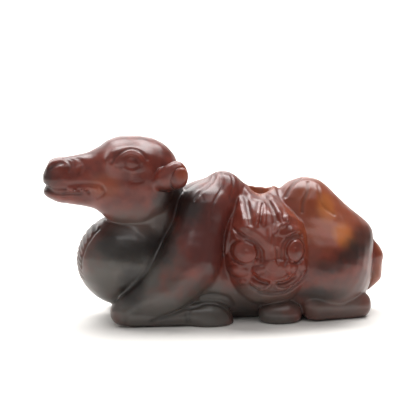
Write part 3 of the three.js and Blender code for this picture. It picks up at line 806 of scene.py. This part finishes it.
class CAMEL_OT_carve(bpy.types.Operator):
    """Carve the camel finely over its solid and polish it"""

    bl_idname = "camel.carve"
    bl_label = "Carve the camel"

    def execute(self, context):
        settings = context.scene.camel_carving_settings
        piece = bpy.data.objects.new("carved_camel", rough_shape())
        context.scene.collection.objects.link(piece)
        for grid in (settings.rough_grid, settings.grid):
            applied(piece, "REMESH", mode="VOXEL", voxel_size=grid)
            set_mesh_points(piece.data, settle(camel, mesh_points(piece.data) / SHARE) * SHARE)
        triangles = sum(len(face.vertices) - 2 for face in piece.data.polygons)
        if triangles > MOST_TRIANGLES:
            applied(piece, "DECIMATE", ratio=MOST_TRIANGLES / triangles)
        points = settle(camel, mesh_points(piece.data) / SHARE, rounds=1)
        normals = np.empty(len(points) * 3)
        piece.data.vertices.foreach_get("normal", normals)
        on_ground = points[:, 2] < GROUND_BAND
        uneven = np.where(on_ground, 0, handmade(points))
        points += normals.reshape(-1, 3) * uneven[:, None]
        cut = cut_depth(points)
        margin = MARGIN * SHARE
        low, high = np.array(LOW) + margin * np.array((1, 1, 0)), np.array(HIGH) - margin
        set_mesh_points(piece.data, np.clip(points * SHARE, low, high))
        attribute = piece.data.attributes.new("cut", "FLOAT", "POINT")
        attribute.data.foreach_set("value", cut.astype(np.float32))
        piece.data.polygons.foreach_set("use_smooth", [True] * len(piece.data.polygons))
        piece.data.materials.clear()
        piece.data.materials.append(stone_material(settings))
        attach(piece, "root")
        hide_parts(NODE)
        return {"FINISHED"}


# Soft lamps of the studio: name, place (m), width and height (m), power (W). All point at the carving.
LAMPS = [
    ("key", (0.1, 0.2, 0.6), (0.8, 0.35), 4),
    ("rim", (-0.2, 0.7, 0.4), (1.2, 0.4), 3),
    ("left_window", (-0.8, -0.5, 0.3), (1.6, 1.2), 1.9),
    ("floor_wash", (0.1, -0.5, 1), (1, 0.3), 2.5),
    ("backdrop_wash", (0, 0.5, 1.1), (1.6, 0.5), 14),
]
LAMP_AIM = (0, 0, 0.02)
WHITE = (1, 1, 1, 1)
WORLD_STRENGTH = 0.2
FLOOR_COLOUR = (0.9, 0.875, 0.84, 1)
FLOOR_ROUGHNESS = 0.6
FLOOR_STRIPS = 48
FLOOR_FRONT, FLOOR_BACK, FLOOR_CURVE = 1.5, 0.5, 0.25  # shares of half the floor's width
CAMERA_TARGET = (-1.1, 0, 18.2)  # shares
PHOTO_WIDTH = 410  # pixels
PHOTO_SHIFT = (-8.5, 28)  # how far the picture's middle lies right of the target and above it, in pixels
NEAR_CLIP = 0.01


def cove(size, front, back, radius):
    """A sheet, size to either side, that lies flat from -front and curves up to stand at back."""
    shape = bmesh.new()
    bmesh.ops.create_grid(shape, x_segments=1, y_segments=FLOOR_STRIPS, size=1)
    for vert in shape.verts:
        along = -front + (back + front + radius) * (vert.co.y + 1) / 2
        turn = min(max(along - back + radius, 0) / radius, math.pi / 2)
        rest = max(along - back + radius - radius * math.pi / 2, 0)
        vert.co = (vert.co.x * size, min(along, back - radius) + radius * math.sin(turn),
                   radius * (1 - math.cos(turn)) + rest)
    for face in shape.faces:
        face.smooth = True
    mesh = bpy.data.meshes.new("floor")
    shape.to_mesh(mesh)
    shape.free()
    return mesh


class CAMEL_OT_stage(bpy.types.Operator):
    """Set the pale floor, the soft lamps and the camera"""

    bl_idname = "camel.stage"
    bl_label = "Set the stage"

    def execute(self, context):
        settings = context.scene.camel_stage_settings
        size = settings.floor_size
        sheet = cove(size, size * FLOOR_FRONT, size * FLOOR_BACK, size * FLOOR_CURVE)
        floor = bpy.data.objects.new("floor", sheet)
        context.scene.collection.objects.link(floor)
        pale = Shader("floor")
        pale.surface.inputs["Base Color"].default_value = FLOOR_COLOUR
        pale.surface.inputs["Roughness"].default_value = FLOOR_ROUGHNESS
        floor.data.materials.append(pale.material)
        for name, place, (width, height), power in LAMPS:
            light = bpy.data.lights.new(name, "AREA")
            light.shape, light.size, light.size_y, light.energy = "RECTANGLE", width, height, power
            lamp = bpy.data.objects.new(name, light)
            lamp.location = place
            lamp.rotation_euler = (Vector(LAMP_AIM) - Vector(place)).to_track_quat("-Z", "Y").to_euler()
            context.scene.collection.objects.link(lamp)
        world = bpy.data.worlds.new("studio")
        world.use_nodes = True
        world.node_tree.nodes["Background"].inputs["Color"].default_value = WHITE
        world.node_tree.nodes["Background"].inputs["Strength"].default_value = WORLD_STRENGTH
        context.scene.world = world
        context.scene.view_settings.view_transform = "Standard"
        self.set_camera(context.scene, settings)
        return {"FINISHED"}

    def set_camera(self, scene, settings):
        turn, rise = settings.azimuth, settings.elevation
        back = Vector((math.sin(turn) * math.cos(rise), -math.cos(turn) * math.cos(rise), math.sin(rise)))
        target = Vector(CAMERA_TARGET) * SHARE
        camera = bpy.data.objects.new("camera", bpy.data.cameras.new("camera"))
        camera.location = target + back * settings.distance
        camera.rotation_euler = back.to_track_quat("Z", "Y").to_euler()
        camera.data.lens = settings.lens
        camera.data.shift_x, camera.data.shift_y = (pixels / PHOTO_WIDTH for pixels in PHOTO_SHIFT)
        camera.data.dof.use_dof = False
        camera.data.clip_start = NEAR_CLIP
        scene.collection.objects.link(camera)
        scene.camera = camera


class CAMEL_PT_panel(bpy.types.Panel):
    """Sizes, colours and steps of the stone camel"""

    bl_idname = "CAMEL_PT_panel"
    bl_label = "Stone camel"
    bl_space_type = "VIEW_3D"
    bl_region_type = "UI"
    bl_category = "Stone camel"

    def draw(self, context):
        for settings, operator in ((context.scene.camel_carving_settings, CAMEL_OT_carve),
                                   (context.scene.camel_stage_settings, CAMEL_OT_stage)):
            box = self.layout.box()
            for name in settings.__annotations__:
                box.prop(settings, name)
            box.operator(operator.bl_idname)


CLASSES = (CarvingSettings, StageSettings, CAMEL_OT_carve, CAMEL_OT_stage, CAMEL_PT_panel)


def register():
    for entry in CLASSES:
        bpy.utils.register_class(entry)
    bpy.types.Scene.camel_carving_settings = PointerProperty(type=CarvingSettings)
    bpy.types.Scene.camel_stage_settings = PointerProperty(type=StageSettings)


def unregister():
    del bpy.types.Scene.camel_stage_settings
    del bpy.types.Scene.camel_carving_settings
    for entry in reversed(CLASSES):
        bpy.utils.unregister_class(entry)


def main():
    register()
    bpy.ops.camel.carve()
    bpy.ops.camel.stage()


if __name__ == "__main__":
    main()
